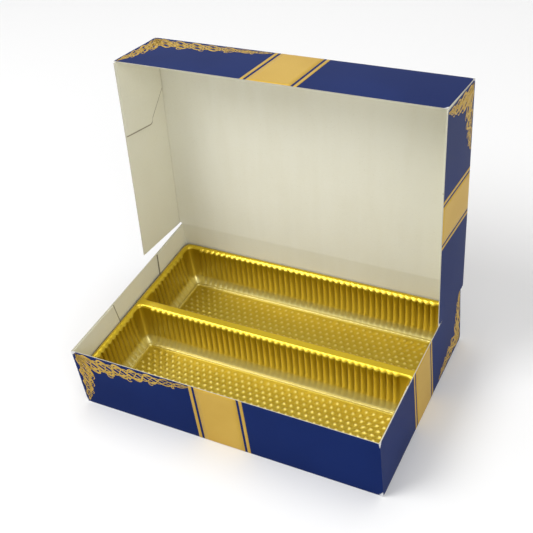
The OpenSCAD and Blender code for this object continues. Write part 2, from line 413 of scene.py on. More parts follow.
# The moving crease. A scored strip of the same board joins the back wall to the lid's panel, and bends
# over the back as the lid shuts. Its inside is cream and its outside is printed.
STRIP_ROWS, STRIP_COLUMNS = 12, 64
STRIP_WEAR, STRIP_OUTER_FOLD, STRIP_INNER_FOLD = 0.6, 0.5 * MM, 3.0 * MM


def crease_place(x, share, depth):
    """A place on the strip as the lid stands open: below + share (above - below), where below is on
    the back wall's top and above on the lid's panel."""
    x, share = np.broadcast_arrays(np.asarray(x, float), np.asarray(share, float))
    below = back.place(back.run / 2 - x, back.drop, depth)
    above = lid_top.place(x + lid_top.run / 2, lid_top.drop, depth)
    return below + (above - below) * share[..., None]


def over_crease(piece):
    """The strip's two ends are found, and the piece's place is baked into its mesh."""
    below, above = crease_place(0.0, 0.0, BOARD / 2), crease_place(0.0, 1.0, BOARD / 2)
    tuple(below)
    tuple(above)
    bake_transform(piece)


strip_x = np.linspace(-back.run / 2, back.run / 2, STRIP_COLUMNS)[None]
strip_up = np.linspace(0, 1, STRIP_ROWS)[:, None]
strip_points = np.concatenate([crease_place(strip_x, strip_up, BOARD - INK),
                               crease_place(strip_x, strip_up[::-1], 0.0)])
strip_end = np.arange(2 * STRIP_ROWS) * STRIP_COLUMNS
strip_caps = [strip_end[::-1], strip_end + STRIP_COLUMNS - 1]
strip_faces = [*quads(2 * STRIP_ROWS, STRIP_COLUMNS, wrap=True, flip=True), *strip_caps]
strip_rows = [PRINTED] * (STRIP_ROWS - 1) + [CUT] + [BARE] * (STRIP_ROWS - 1) + [CUT]
side_points = STRIP_ROWS * STRIP_COLUMNS
crease_strip = mesh_object("crease_strip", strip_points.reshape(-1, 3), strip_faces, board_finishes,
                           [*np.repeat(strip_rows, STRIP_COLUMNS - 1), CUT, CUT],
                           {"fold": np.repeat([STRIP_OUTER_FOLD, STRIP_INNER_FOLD], side_points),
                            "wear": np.full(2 * side_points, STRIP_WEAR)})
over_crease(crease_strip)


# The glue tabs. They run on from the front and back walls, fold round the corners inside the side
# walls, and are glued there. Their cut ends stand a little off the wall, and a painted brown shadow
# along each cut end shows as a thin dark line.
TAB_SLANT, TAB_ROUND = 22 * MM, 4 * MM
TAB_LIFT = 0.55 * MM
TAB_ROWS, TAB_COLUMNS, TAB_ROUND_ROWS = 20, 26, 9
TAB_END_SHADOW = (0.19, 0.16, 0.10)


def tab_finish():
    """Cream on both faces, like the inside of the blank, with a painted brown shadow at the cut end of the
    tab.
    """
    f = Finish("tab_board", Roughness=0.85, Specular_IOR_Level=0.25)
    # painted shadow: brown over the last strip of the tab, where its cut number rises to 1
    edge = f.number("cut").ramp(0.45, 0.8)
    fibres = f.noise(420.0, 4.0, (3, 1, 1), 0.65)
    tone = f.mix(f.noise(16.0, 4.0) * 0.8 + (fibres - 0.5) * 0.5 - 0.28, CREAM, CREAM_SHADE)
    f.set(Base_Color=f.mix(edge * 0.85, tone, TAB_END_SHADOW))
    f.bump(fibres, 0.12 * MM)
    return f.material


tab_board = tab_finish()


def tab_end(v, length, height):
    """How far a tab reaches at v from the panel's side: a slant of 45 degrees, then a long edge that
    comes back by a sixth of the slant, and a round where the two meet."""
    slant = length - TAB_SLANT + np.minimum(v, TAB_SLANT)
    back_in = length - TAB_SLANT / 6 * np.clip((v - TAB_SLANT) / (height - TAB_SLANT), 0, 1)
    bulge = np.sqrt(np.clip(TAB_ROUND**2 - (v - TAB_SLANT)**2, 0, None)) + length - TAB_ROUND
    return np.maximum(np.minimum(slant, back_in), np.where(np.abs(v - TAB_SLANT) < TAB_ROUND, bulge, 0))


def tab_piece(name, fold_y, toward, v_from, v_to, wall_x, inward, lean=0.0, lid=False):
    """A tab that runs from its fold at fold_y in the y direction toward, along the wall at wall_x,
    and is BOARD thick in the direction inward. It moves off the wall by lift (u / length)^3, where u
    is the distance from the fold."""
    low, high = shut_box(name) if lid else base_box(name)
    height = abs(v_to - v_from)
    skew = height * math.tan(lean)
    length = high[1] - low[1] - skew
    v_round = np.linspace(-1, 1, TAB_ROUND_ROWS) * TAB_ROUND + TAB_SLANT
    v = np.unique(np.concatenate([np.linspace(0, height, TAB_ROWS), v_round]))
    share = np.linspace(0, 1, TAB_COLUMNS)[None]
    start = -skew * v / height
    u = start[:, None] + share * (tab_end(v, length, height) - start)[:, None]
    lift = TAB_LIFT * np.clip(u / length, 0, 1)**3
    z = np.broadcast_to((v_from + v * np.sign(v_to - v_from))[:, None], u.shape)
    faces_of_board = [np.stack([wall_x + inward * (lift + d), fold_y + toward * u, z], -1)
                      for d in (BOARD, 0.0)]
    rows, columns = u.shape
    count = rows * columns
    points = np.concatenate([f.reshape(-1, 3) for f in faces_of_board])
    grid = np.arange(count).reshape(rows, columns)
    rim = np.concatenate([grid[0, :-1], grid[:-1, -1], grid[-1, :0:-1], grid[:0:-1, 0]])
    after = np.roll(rim, -1)
    faces = [*quads(rows, columns), *quads(rows, columns, flip=True, first=count),
             *np.stack([rim, rim + count, after + count, after], 1)]
    if inward * toward * np.sign(v_to - v_from) < 0:
        faces = [f[::-1] for f in faces]
    cut = np.zeros((rows, columns))
    cut[:, -1] = 1.0
    piece = mesh_object(name + "_board", swing(points, STANDS_OPEN) if lid else points, faces,
                        [tab_board], None, {"cut": np.tile(cut.ravel(), 2)})
    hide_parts(name)
    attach(piece, "lid" if lid else "base")


for side, hand in ((-1, "left"), (1, "right")):
    for end, place in ((-1, "front"), (1, "back")):
        tab_low, tab_high = base_box(f"base_{place}_{hand}_tab")
        tab_piece(f"base_{place}_{hand}_tab", tab_low[1] if end < 0 else tab_high[1], -end,
                  tab_low[2], tab_high[2], tab_high[0] if side > 0 else tab_low[0], -side)
    tab_low, tab_high = shut_box(f"lid_{hand}_tab")
    lean_back = (tab_high[2] - tab_low[2]) * math.tan(LID_LEAN)
    tab_piece(f"lid_{hand}_tab", tab_low[1] + lean_back, 1, tab_high[2], tab_low[2],
              tab_high[0] if side > 0 else tab_low[0], -side, LID_LEAN, lid=True)


# The ribbons. Two printed bands of satin gold cross on the lid and run down the walls, each a wide
# stripe between two thin lines. All the gold is a film of ink on the print, a few hundredths thick.
RIBBON_LONG, RIBBON_SHORT = 43 * MM, 37 * MM
LINE_SHARE, GAP_SHARE = 0.06, 0.046
MEDALLION_RADIUS = 38.5 * MM
INK_DEPTH = BOARD - 0.005 * MM
PETAL_NOTCH = 0.06
GOLD, GOLD_PALE = (0.55, 0.345, 0.050), (0.60, 0.39, 0.066)
GOLD_GRAIN, GOLD_CRACK = (0.40, 0.235, 0.03), (0.30, 0.17, 0.03)


def gold_finish():
    """Satin gold ink: a warm yellow with a soft metal sheen and a fine grain, cracked brown along folds."""
    f = Finish("gold_ink", Roughness=0.42, Metallic=0.3, Specular_IOR_Level=0.15)
    grain = f.noise(1500.0, 2.0)
    cloudy = f.noise(22.0, 3.0)
    tone = f.mix(cloudy.ramp(0.3, 0.7), GOLD, GOLD_PALE)
    tone = f.mix((grain - 0.5) * 0.35 + 0.12, tone, GOLD_GRAIN)
    frayed = f.noise(650.0, 4.0, roughness=0.7)
    worn = (frayed * 0.9 - f.number("fold") / FOLD_WEAR).ramp(0.0, 0.3)
    f.set(Base_Color=f.mix(worn * 0.6, tone, GOLD_CRACK), Roughness=grain * 0.12 + 0.36)
    f.bump(grain, 0.04 * MM)
    return f.material


gold_ink = gold_finish()


def bend(start, end, bulge=0.0, count=12):
    """A curve from start to end that bulges to its left by bulge of its length: the straight line
    plus 4 k (1 - k) bulge along its normal."""
    start, end = np.asarray(start, float), np.asarray(end, float)
    k = np.linspace(0, 1, count)[:, None]
    across = np.array([start[1] - end[1], end[0] - start[0]])
    return start + (end - start) * k + 4 * k * (1 - k) * bulge * across


def left_of(path):
    """The unit normal to the left of a path at each of its points."""
    way = np.gradient(path, axis=0)
    return np.stack([-way[:, 1], way[:, 0]], 1) / np.maximum(np.hypot(*way.T), 1e-12)[:, None]


def weld(piece):
    """Merges a mesh's points that meet within a thousandth of a millimetre, and drops empty faces."""
    shape = bmesh.new()
    shape.from_mesh(piece.data)
    bmesh.ops.remove_doubles(shape, verts=shape.verts, dist=0.001 * MM)
    shape.to_mesh(piece.data)
    shape.free()


class Gold:
    """The gold ink on one flat. Each shape is a grid of places (s, t), in metres from the flat's
    middle along the fold and from the fold; strokes and leaves are grids two places wide."""

    def __init__(self, flat):
        self.flat, self.shapes = flat, []

    def place(self, s, t):
        return self.flat.place(s + self.flat.run / 2, t, INK_DEPTH)

    def fold(self, s, t):
        return self.flat.from_fold(s + self.flat.run / 2, t)

    def grid(self, s, t):
        self.shapes.append(np.stack(np.broadcast_arrays(s, t), -1))

    def between(self, left, right):
        """The shape between two curves."""
        self.shapes.append(np.stack([left, right], 1))

    def stroke(self, path, half_width):
        """A line along a path: each point moved both ways along the path's normal by half_width."""
        side = left_of(path) * np.broadcast_to(half_width, len(path))[:, None]
        self.between(path + side, path - side)

    def leaf(self, root, tip, width, bulge=0.0, vein=0.12):
        """Two half leaves either side of an open vein: half width is width / 2 sin(pi k)^0.75, and the
        vein's is a share of that."""
        spine = bend(root, tip, bulge)
        normal = left_of(spine)
        k = np.linspace(0, 1, len(spine))
        half = (width / 2 * np.sin(math.pi * np.clip(k, 0.02, 0.98)) ** 0.75)[:, None]
        for side in (1, -1):
            self.between(spine + side * normal * half * vein, spine + side * normal * half)

    def petal(self, centre, angle, inner, outer, half_angle):
        """A petal round a flower's centre, from radius inner to outer: its half angle swells as
        sin(pi k / 2)^0.6 and closes over the tip, which is notched, and a slit runs up from its root."""
        k = np.linspace(0, 1, 12)
        swell = np.sin(math.pi / 2 * np.clip(k * 1.25, 0.15, 1)) ** 0.6 * np.sqrt(1 - k**6 * 0.9)
        slit = 0.14 * np.clip(1 - k / 0.7, 0, 1)
        for side in (1, -1):
            edges = []
            for share in (slit, 1.0):
                turn = angle + side * half_angle * swell * share
                tip = 1 - PETAL_NOTCH * (k == 1) * (1 - np.broadcast_to(share, k.shape))
                reach = (inner + (outer - inner) * k) * tip
                edges.append(centre + reach[:, None] * np.stack([np.cos(turn), np.sin(turn)], 1))
            self.between(*edges)

    def dot(self, centre, radius):
        """A disc, as a ring round a pinhole."""
        turn = np.linspace(0, 2 * math.pi, 13)
        ring = np.stack([np.cos(turn), np.sin(turn)], 1)
        self.between(centre + ring * radius * 0.02, centre + ring * radius)

    def finish(self, name):
        """The film of ink as one closed mesh: each shape's grid on the board, turned to face outwards."""
        points, faces, folds, first = [], [], [], 0
        for shape in self.shapes:
            rows, columns = shape.shape[:2]
            a, b = shape[1:, :-1] - shape[:-1, :-1], shape[:-1, 1:] - shape[:-1, :-1]
            turned = (a[..., 0] * b[..., 1] - a[..., 1] * b[..., 0]).sum() > 0
            points.append(self.place(shape[..., 0], shape[..., 1]).reshape(-1, 3))
            faces.append(quads(rows, columns, flip=turned != self.flat.flipped, first=first))
            folds.append(self.fold(shape[..., 0], shape[..., 1]).ravel())
            first += rows * columns
        piece = mesh_object(name, np.concatenate(points), np.concatenate(faces), [gold_ink], None,
                            {"fold": np.concatenate(folds)})
        weld(piece)
        film = piece.modifiers.new("film", "SOLIDIFY")
        film.thickness, film.offset = INK, -1.0
        return piece


def stripes(width):
    """Edges across a ribbon of this width of its thin line, its wide stripe and its other thin line."""
    line, gap = LINE_SHARE * width, GAP_SHARE * width
    half = width / 2
    return ((-half, -half + line, 2), (-half + line + gap, half - line - gap, 9), (half - line, half, 2))


def wall_ribbon(gold, width, middle=0.0):
    """A ribbon down a wall, from the near side of its fold to its free edge."""
    t = np.concatenate([-np.linspace(gold.flat.round, 0, ROUND_ROWS + 1)[:-1],
                        np.linspace(0, gold.flat.drop, 16)])[:, None]
    for low, high, count in stripes(width):
        gold.grid(middle + np.linspace(low, high, count)[None], t)


golds = {flat: Gold(flat) for flat in (base_front, base_right, base_left, back, lid_front, lid_right,
                                       lid_left, lid_top)}
for flat in (base_front, back, lid_front):
    wall_ribbon(golds[flat], RIBBON_LONG)
for flat, hand in ((base_right, 1), (base_left, -1), (lid_right, 1), (lid_left, -1)):
    wall_ribbon(golds[flat], RIBBON_SHORT, -hand * (flat.start[1] + hand * flat.run / 2))

on_lid = golds[lid_top]
lid_middle = -lid_top.start[1]
for low, high, count in stripes(RIBBON_LONG):
    across = np.linspace(low, high, count)[:, None]
    along = np.linspace(0, 1, 24)[None]
    ring = np.sqrt(MEDALLION_RADIUS**2 - across**2)
    on_lid.grid(across, (lid_middle - ring) * along)
    on_lid.grid(across, lid_top.drop + (lid_middle + ring - lid_top.drop) * along)
for low, high, count in stripes(RIBBON_SHORT):
    across = np.linspace(low, high, count)[:, None]
    along = np.linspace(0, 1, 30)[None]
    ring = np.sqrt(MEDALLION_RADIUS**2 - across**2)
    for side in (-1, 1):
        on_lid.grid(side * (lid_top.run / 2 + (ring - lid_top.run / 2) * along), lid_middle + across)


class CreaseGold(Gold):
    """The gold ink on the moving crease, where t is the share of the way up the strip."""

    def place(self, s, t):
        return crease_place(-s, t, INK_DEPTH)

    def fold(self, s, t):
        return np.full(np.shape(s), STRIP_OUTER_FOLD)


over_strip = CreaseGold(back)
for low, high, count in stripes(RIBBON_LONG):
    over_strip.grid(np.linspace(low, high, count)[None], strip_up)
over_crease(over_strip.finish("crease_gold"))


# The medallion. Two gold rings stand where the ribbons cross, round a disc of the blue print that
# carries a rule with a lozenge between two small leafy sprigs.
RINGS = ((31.4 * MM, 33.6 * MM), (34.7 * MM, 36.6 * MM))
SPRIG_OFF, SPRIG_REACH = 12.5 * MM, 15.5 * MM


def around(radius):
    """A circle round the medallion's centre."""
    turn = np.linspace(0, 2 * math.pi, 96)
    return np.stack([radius * np.cos(turn), lid_middle + radius * np.sin(turn)], 1)


for inner, outer in RINGS:
    on_lid.between(around(inner), around(outer))


def sprig(gold, centre, way, reach):
    """A bud with a pair of petals, and to each side a stem with pairs of leaves that grow shorter."""
    cx, cy = centre
    gold.leaf((cx, cy - way * 1.0 * MM), (cx, cy + way * 5.4 * MM), 3.0 * MM)
    for side in (-1, 1):
        gold.leaf((cx + side * 0.8 * MM, cy - way * 0.6 * MM), (cx + side * 4.6 * MM, cy + way * 3.6 * MM),
                  2.2 * MM, side * way * 0.15)
        gold.dot(np.array([cx + side * 2.4 * MM, cy - way * 2.4 * MM]), 0.7 * MM)
        stem = bend((cx + side * 1.2 * MM, cy - way * 1.6 * MM), (cx + side * reach, cy + way * 0.8 * MM),
                    -side * way * 0.08, 25)
        gold.stroke(stem, np.linspace(0.35, 0.2, 25) * MM)
        for k in range(5, 24, 4):
            root, size = stem[k], (4.4 - 0.1 * k) * MM
            for turn in (1, -1):
                tip = root + np.array([side * 0.72 * size, turn * 0.62 * size])
                gold.leaf(root + np.array([0, turn * 0.25 * MM]), tip, 0.36 * size, -side * turn * 0.12)
        gold.leaf(stem[-1], stem[-1] + np.array([side * 2.6 * MM, way * 0.5 * MM]), 1.1 * MM)


for way in (1, -1):
    sprig(on_lid, (0.0, lid_middle + way * SPRIG_OFF), way, SPRIG_REACH)
lozenge = np.array([[-2.6, 0.0], [0.0, 1.7], [2.6, 0.0]]) * MM + [0, lid_middle]
on_lid.between(lozenge, lozenge * [1, -1] + [0, 2 * lid_middle])
for side in (-1, 1):
    rule = bend((side * 4.2 * MM, lid_middle), (side * 22 * MM, lid_middle), 0.0, 20)
    on_lid.stroke(rule, np.sin(np.linspace(0.05, 1, 20) * math.pi) ** 0.5 * 0.45 * MM + 0.02 * MM)
    on_lid.dot(np.array([side * 24 * MM, lid_middle]), 0.8 * MM)


# The sprays. In each quarter of the lid, beside the medallion, stands a printed spray: a many-petalled
# bloom on two curving branches of leaves, with closed buds between.
def spray(gold, sx, sy):
    """A spray in the quarter of the lid that sx and sy point to, in millimetres from the medallion's
    centre: two rings of petals round a cluster of dots, two stems with pairs of leaves that shrink
    towards the tip, three buds of a leaf between two narrower ones, and three loose leaves."""
    def at(x, y):
        return np.array([sx * x * MM, lid_middle + sy * y * MM])

    hand = sx * sy
    bloom = at(52.0, 42.0)
    for ring, (inner, outer, petals) in enumerate(((3.4, 8.2, 8), (8.8, 13.4, 12))):
        for p in range(petals):
            turn = 2 * math.pi * (p + 0.5 * ring) / petals + 0.2
            gold.petal(bloom, turn, inner * MM, outer * MM, 0.42 * 2 * math.pi / petals)
    for p in range(7):
        turn = 2 * math.pi * p / 7
        gold.dot(bloom + 1.9 * MM * np.array([math.cos(turn), math.sin(turn)]), 0.5 * MM)
    gold.dot(bloom, 0.9 * MM)
    for start, end, bulge, pairs in (((41, 31), (90, 25.5), 0.10, 8), ((38, 34), (29, 75.5), -0.10, 7)):
        count = 6 * pairs + 1
        stem = bend(at(*start), at(*end), -hand * bulge, count)
        gold.stroke(stem, np.linspace(0.65, 0.25, count) * MM)
        way = np.gradient(stem, axis=0)
        way /= np.hypot(*way.T)[:, None]
        for k in range(2, count - 3, 5):
            size = (8.4 - 4.6 * k / count) * MM
            for turn in (1, -1):
                side = np.array([-way[k][1], way[k][0]]) * turn
                tip = stem[k] + way[k] * 0.78 * size + side * 0.58 * size
                gold.leaf(stem[k] + side * 0.5 * MM, tip, 0.40 * size, -turn * 0.14)
        gold.leaf(stem[-1], stem[-1] + way[-1] * 4.2 * MM, 1.9 * MM)
    for *places, bulge in (((60, 52), (70, 55), (80, 60), 0.12), ((64, 45), (75, 43), (87, 43), -0.06),
                           ((47, 54), (46, 63), (50, 73), 0.10)):
        start, end, tip = (at(*place) for place in places)
        gold.stroke(bend(start, end, hand * bulge), 0.45 * MM)
        size = np.hypot(*(tip - end))
        way = (tip - end) / size
        side = np.array([-way[1], way[0]])
        gold.leaf(end, tip, 3.4 * MM)
        for turn in (1, -1):
            gold.leaf(end + side * turn * 0.9 * MM, end + way * 0.82 * size + side * turn * 4.0 * MM,
                      2.9 * MM, -turn * 0.16)
    apex = at(34.5, 27.0)
    for end in ((44.0, 29.0), (37.5, 36.5), (42.5, 34.5)):
        gold.leaf(apex, at(*end), 3.0 * MM, 0.1 * hand)


for sx in (-1, 1):
    for sy in (-1, 1):
        spray(on_lid, sx, sy)


# The corner scrolls. A braid of gold strands fills one corner of each wall, and thins out along the
# wall's long edge and up or down its short one, with loops in its crook and curls along its inner side.
SCROLL_LONG, SCROLL_SHORT = 101, 50
SCROLL_EDGE, SCROLL_END = 1.2, 1.5
LENS_LONG, LENS_SHORT = 14.5, 12.5
CROOK_SHORT, CROOK_LONG = 14, 16.8
STRANDS = ((0.43, 0.0, 1.35), (-0.43, 0.0, 1.0), (0.3, 0.5, 0.65), (-0.3, 0.5, 0.65))
LOOPS = ((0.25, 9.5, 2.3), (0.06, 12.5, 1.9), (0.44, 12.5, 1.9))
CURLS = ((-0.84, 1.6), (-0.62, 2.2), (-0.40, 2.8), (-0.20, 3.2), (0.18, 3.0), (0.42, 2.6), (0.68, 2.0))


def corner_scroll(gold, hand, length, from_free_edge=False):
    """The scroll in a wall's corner, at its fold or its free edge; hand is -1 at the left end and 1 at
    the right. Lengths are in millimetres, from the corner.

    A strand lies at outer + (inner - outer) (0.5 + swell sin(pi (lenses v + shift))), for v from -1 at
    the end of the long tail, through 0 at the corner, to 1 at the end of the short tail. The outer side
    keeps 1.2 from both edges. The inner side is 1.8 + 16.2 (1 + v)^0.62 from the long edge up to the
    corner, and 2 + 13.2 (1 - v)^0.7 from the short edge past it. A loop runs out and back by
    reach sin(pi k), and a curl winds in as its radius falls by three quarters."""
    height = gold.flat.drop / MM - SCROLL_END

    def at(points):
        p = np.asarray(points, float) * MM
        s = hand * (gold.flat.run / 2 - p[..., 0])
        return np.stack([s, gold.flat.drop - p[..., 1] if from_free_edge else p[..., 1]], -1)

    def between_sides(v, share):
        """The place at v that lies a share of the way from the outer side to the inner one."""
        along, down = np.clip(-v, 0, 1), np.clip(v, 0, 1)
        outer = np.stack([(length - SCROLL_EDGE) * along, (height - SCROLL_EDGE) * down], -1)
        from_short = np.where(v < 0, CROOK_SHORT + (length - CROOK_SHORT - SCROLL_EDGE) * along,
                              0.8 + (CROOK_SHORT - 0.8) * (1 - down)**0.7)
        from_long = np.where(v < 0, 0.6 + (CROOK_LONG - 0.6) * (1 - along)**0.62,
                             CROOK_LONG + (height - CROOK_LONG - SCROLL_EDGE) * down)
        inner = np.stack([from_short, from_long], -1)
        return SCROLL_EDGE + outer + (inner - outer) * np.asarray(share)[..., None]

    v = np.linspace(-1, 1, 320)
    lenses = np.where(v < 0, length / LENS_LONG, height / LENS_SHORT)
    fade = 1 - 0.74 * np.abs(v)
    for swell, shift, half_width in STRANDS:
        path = between_sides(v, 0.5 + swell * np.sin(math.pi * (lenses * v + shift)))
        gold.stroke(at(path), half_width * MM * fade)
    for arm, pitch in ((-1, LENS_LONG / length), (1, LENS_SHORT / height)):
        for lens in range(int(1 / pitch)):
            for side in (-1, 1):
                ends = arm * pitch * (lens + np.array([0.16, 0.84]))
                root, tip = between_sides(ends, [0.5 + side * 0.138] * 2)
                size = 2.9 * MM * (1 - 0.8 * pitch * lens)
                gold.leaf(at(root), at(tip), size, -side * arm * hand * 0.22, vein=0.0)
    for turn, reach, swell in LOOPS:
        k = np.linspace(0, 1, 26)[:, None]
        angle = turn * math.pi + 0.9 * np.sin(2 * math.pi * k) * swell / reach
        loop = 2.2 + reach * np.sin(math.pi * k) * np.concatenate([np.cos(angle), np.sin(angle)], 1)
        gold.stroke(at(loop), 0.5 * MM)
    gold.leaf(at((2.0, 2.0)), at((13.5, 13.5)), 3.2 * MM)
    for at_v, size in CURLS:
        root = between_sides(np.array(at_v), 0.80)
        k = np.linspace(0, 1, 22)[:, None]
        turn = (1.9 * k + 0.2) * math.pi if at_v < 0 else (0.4 - 1.9 * k) * math.pi
        curl = np.concatenate([0.2 + (1 - 0.75 * k) * np.cos(turn), 0.5 + (1 - 0.75 * k) * np.sin(turn)], 1)
        gold.stroke(at(root + size * curl), (0.36 + 0.6 * k[:, 0]**2) * MM)


corner_scroll(golds[base_front], -1, SCROLL_LONG, from_free_edge=True)
corner_scroll(golds[base_right], 1, SCROLL_SHORT)
corner_scroll(golds[base_left], 1, SCROLL_SHORT, from_free_edge=True)
corner_scroll(golds[lid_front], -1, SCROLL_LONG)
corner_scroll(golds[lid_right], -1, SCROLL_SHORT)
corner_scroll(golds[lid_left], -1, SCROLL_SHORT)
corner_scroll(golds[back], -1, SCROLL_LONG, from_free_edge=True)

for flat, name in ((base_front, "front"), (base_right, "right"), (base_left, "left"), (back, "back"),
                   (lid_front, "lid_front"), (lid_right, "lid_right"), (lid_left, "lid_left"),
                   (lid_top, "lid_top")):
    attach(golds[flat].finish(name + "_gold"), flat.body)


# The tray. One thin sheet of gold-coloured film, formed hot over a mould: a rim, two long
# compartments with fluted walls and a sunk floor of small studs, and a divider between them.
tray_low, tray_high = base_box("sweet_tray")
SHEET = 0.5 * MM
RIM = 5.0 * MM
DIVIDER = 8.0 * MM
CORNER = 10.0 * MM
EDGE_SQUARE, MOUTH_SQUARE, FLOOR_SQUARE = 6.0, 5.5, 2.3
RIM_LIP = 1.6 * MM
MOUTH_DROP = 1.6 * MM
ROLL_IN, ROLL_DOWN = 0.3 * MM, 1.4 * MM
FLUTE_PITCH = 5.0 * MM
FLUTE_DEPTH = 1.3 * MM
FLUTE_POINTS = 6
CORNER_POINTS = 18
DRAFT = math.tan(math.radians(5))
FOOT_HIGH, FOOT_WIDE = 6.0 * MM, 4.0 * MM
STEP_HIGH, STEP_WIDE = 1.2 * MM, 2.0 * MM
STUD_ACROSS, STUD_DEEP = 5.8 * MM, 4.6 * MM
STUD_HIGH, STUD_RADIUS = 0.8 * MM, 1.75 * MM
FLOOR_RINGS = 28
FLUTE_SHARP = math.radians(60)
NEAR = 1e-9

side_x = tray_high[0] - RIM - CORNER
near_y, far_y = DIVIDER / 2 + CORNER, tray_high[1] - RIM - CORNER
rim_z = tray_high[2]
floor_z = tray_low[2] + SHEET
foot_z = floor_z + STEP_HIGH + FOOT_HIGH
mouth_z = rim_z - MOUTH_DROP
foot_inset = (mouth_z - foot_z) * DRAFT


def side_stations(x0, y0, x1, y1, angle):
    """Points along a compartment's straight side: x, y, the angle of the way out, and the flutes'
    bulge |sin(pi n k)|^0.6 for n flutes, a rounded rib with a narrow groove on each side."""
    flutes = round(math.hypot(x1 - x0, y1 - y0) / FLUTE_PITCH)
    k = np.arange(1, flutes * FLUTE_POINTS) / (flutes * FLUTE_POINTS)
    bulge = np.abs(np.sin(math.pi * k * flutes)) ** 0.6
    return np.stack([x0 + (x1 - x0) * k, y0 + (y1 - y0) * k, np.full(len(k), angle), bulge], 1)


def corner_stations(x, y, start, middle, end):
    """Points at a corner's centre, whose way out turns from start through middle to end."""
    k = np.linspace(0, 2, CORNER_POINTS)
    turn = np.where(k < 1, start + (middle - start) * k, middle + (end - middle) * (k - 1))
    return np.stack([np.full(len(k), x), np.full(len(k), y), turn, np.zeros(len(k))], 1)


quarter = math.pi / 2
tee = math.atan2(DIVIDER / 2 + CORNER, RIM + CORNER)
stations = np.concatenate([
    side_stations(-side_x, near_y, side_x, near_y, -quarter),
    corner_stations(side_x, near_y, -quarter, -tee, 0.0),
    side_stations(side_x, near_y, side_x, far_y, 0.0),
    corner_stations(side_x, far_y, 0.0, quarter / 2, quarter),
    side_stations(side_x, far_y, -side_x, far_y, quarter),
    corner_stations(-side_x, far_y, quarter, 1.5 * quarter, 2 * quarter),
    side_stations(-side_x, far_y, -side_x, near_y, 2 * quarter),
    corner_stations(-side_x, near_y, 2 * quarter, 2 * quarter + tee, 3 * quarter),
])
way = np.stack([np.cos(stations[:, 2]), np.sin(stations[:, 2])], 1)
facing_divider = (np.abs(stations[:, 1] - near_y) < NEAR) & (way[:, 1] < -0.001)
to_divider = np.where(facing_divider, (DIVIDER / 2 + CORNER) / np.maximum(-way[:, 1], 1e-3), 1.0)
to_rim = (RIM + CORNER) / np.maximum(np.abs(way[:, 0]), 1e-3)
edge_reach = np.where(facing_divider, np.minimum(to_divider, to_rim), RIM + CORNER)
at_middle = facing_divider & (to_divider <= to_rim + 1e-7)


def squared(power):
    """How much further out a squared corner's points lie than a round one's:
    (|cos a|^n + |sin a|^n)^(-1/n), where a is the way out and n the power."""
    return (np.abs(way) ** power).sum(1) ** (-1 / power)


def wall_ring(inset, z, flute=0.0):
    """A ring of the wall: each station moved out by (corner - inset) squared(power) - flute bulge. The
    power falls with depth, so the corners are nearly square at the mouth and rounder below."""
    sunk = np.clip((mouth_z - z) / (mouth_z - floor_z), 0, 1)
    power = MOUTH_SQUARE + (FLOOR_SQUARE - MOUTH_SQUARE) * sunk
    reach = (CORNER - inset) * squared(power) - flute * stations[:, 3]
    xy = stations[:, :2] + reach[:, None] * way
    return np.concatenate([xy, np.full((len(xy), 1), z)], 1)


def rim_ring(share, z, flute=0.0):
    """A ring of the rim: each station moved out by mouth + share (edge - mouth) - flute bulge. Past
    the middle it turns down by lip (2 share - 1)^1.6, except along the middle of the divider."""
    mouth = CORNER * squared(MOUTH_SQUARE)
    edge = np.where(facing_divider, edge_reach, edge_reach * squared(EDGE_SQUARE))
    reach = mouth + share * (edge - mouth) - flute * stations[:, 3]
    xy = stations[:, :2] + reach[:, None] * way
    lip = np.where(at_middle, 0.0, RIM_LIP * max(0.0, 2 * share - 1) ** 1.6)
    if share == 1:
        xy[at_middle, 1] = 0.0
    return np.concatenate([xy, (z - lip)[:, None]], 1)


def floor_rings(outline, steps, studs):
    """Rings that shrink from an outline to the line down the middle of a floor, outline (1 - k) +
    spine k. Studs are domes on staggered rows: z rises by high (1 - (d / radius)^2)^1.5 within a
    radius of a stud's centre."""
    middle_y = (near_y + far_y) / 2
    half = side_x + CORNER - foot_inset - FOOT_WIDE - STEP_WIDE - (far_y - near_y) / 2 - CORNER / 2
    spine = np.stack([np.clip(outline[:, 0], -half, half), np.full(len(outline), middle_y)], 1)
    rings = []
    for k in np.linspace(0, 1, steps + 1)[1:]:
        xy = outline[:, :2] * (1 - k) + spine * k
        rise = np.zeros(len(xy))
        if studs:
            for shift in (0.0, 0.5):
                dx = (xy[:, 0] / STUD_ACROSS + shift + 0.5) % 1 - 0.5
                dy = ((xy[:, 1] - middle_y) / (2 * STUD_DEEP) + shift + 0.5) % 1 - 0.5
                d2 = ((dx * STUD_ACROSS) ** 2 + (dy * 2 * STUD_DEEP) ** 2) / STUD_RADIUS ** 2
                rise = np.maximum(rise, STUD_HIGH * np.clip(1 - d2, 0, 1) ** 1.5)
        fade = np.clip(k * steps / 3, 0, 1)
        rings.append(np.concatenate([xy, (outline[:, 2] + rise * fade)[:, None]], 1))
    return rings


